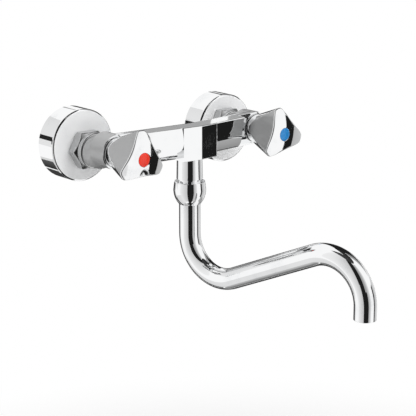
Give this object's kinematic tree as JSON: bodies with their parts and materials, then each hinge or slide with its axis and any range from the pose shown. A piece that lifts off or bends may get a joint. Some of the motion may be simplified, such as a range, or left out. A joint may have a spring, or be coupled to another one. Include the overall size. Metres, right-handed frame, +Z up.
{
  "type": "wall-mounted two-handle sink mixer",
  "caption": "Wall-mounted chrome mixer with round wall covers, a cross beam, lobed handles on screw-down valves, and a curved under-spout that swings.",
  "frame": {"origin": "axis of the hot (left) wall pipe, in the plane of the wall", "axes": "+X to the right along the wall, +Y into the wall, +Z up; the mixer stands out towards -Y"},
  "size_m": [0.2139, 0.2625, 0.1513],
  "materials": {
    "chrome": "polished chrome plate on brass",
    "union_brass": "plain chrome plate on brass, duller than the visible parts",
    "brass": "machined brass",
    "steel": "plain stainless steel",
    "rubber": "black sealing rubber",
    "slip_ring": "white bearing plastic",
    "index_red": "gloss plastic, opaque",
    "index_blue": "gloss plastic, opaque"
  },
  "bodies": {
    "mixer": {"body": "chrome", "swivel_nut": "chrome", "hot_escutcheon": "chrome", "hot_s_union": "union_brass", "hot_union_nut": "chrome", "hot_inlet_gasket": "rubber", "hot_inlet_nipple": "union_brass", "hot_bonnet": "brass", "hot_bonnet_seal": "rubber", "cold_escutcheon": "chrome", "cold_s_union": "union_brass", "cold_union_nut": "chrome", "cold_inlet_gasket": "rubber", "cold_inlet_nipple": "union_brass", "cold_bonnet": "brass", "cold_bonnet_seal": "rubber"},
    "spout": {"spout": "chrome", "spout_ferrule": "chrome", "spout_seals": "rubber", "slip_ring": "slip_ring"},
    "hot_handle": {"hot_handle": "chrome", "hot_index_cap": "index_red", "hot_handle_screw": "steel", "hot_spindle": "brass", "hot_spindle_seals": "rubber", "hot_spindle_clip": "steel"},
    "hot_piston": {"hot_piston": "brass", "hot_seat_washer": "rubber", "hot_washer_screw": "brass"},
    "cold_handle": {"cold_handle": "chrome", "cold_index_cap": "index_blue", "cold_handle_screw": "steel", "cold_spindle": "brass", "cold_spindle_seals": "rubber", "cold_spindle_clip": "steel"},
    "cold_piston": {"cold_piston": "brass", "cold_seat_washer": "rubber", "cold_washer_screw": "brass"}
  },
  "joints": [
    {"name": "hot_handle_turn", "type": "hinge", "parent": "mixer", "child": "hot_handle", "pos_m": [0.00196, -0.06405, 0.0011], "axis": [0, -1, 0], "range_deg": [0, 810]},
    {"name": "hot_piston_travel", "type": "slide", "parent": "mixer", "child": "hot_piston", "axis": [0, -1, 0], "range_m": [0, 0.00455]},
    {"name": "cold_handle_turn", "type": "hinge", "parent": "mixer", "child": "cold_handle", "pos_m": [0.15196, -0.06405, 0.0011], "axis": [0, -1, 0], "range_deg": [0, 810]},
    {"name": "cold_piston_travel", "type": "slide", "parent": "mixer", "child": "cold_piston", "axis": [0, -1, 0], "range_m": [0, 0.00455]},
    {"name": "spout_swing", "type": "hinge", "parent": "mixer", "child": "spout", "pos_m": [0.07696, -0.06405, -0.0131], "axis": [0, 0, 1], "range_deg": [-100, 80]}
  ],
  "couplings": [
    {"joint": "hot_piston_travel", "follows": "hot_handle_turn", "m_per_rad": 0.00031831},
    {"joint": "cold_piston_travel", "follows": "cold_handle_turn", "m_per_rad": 0.00031831}
  ]
}
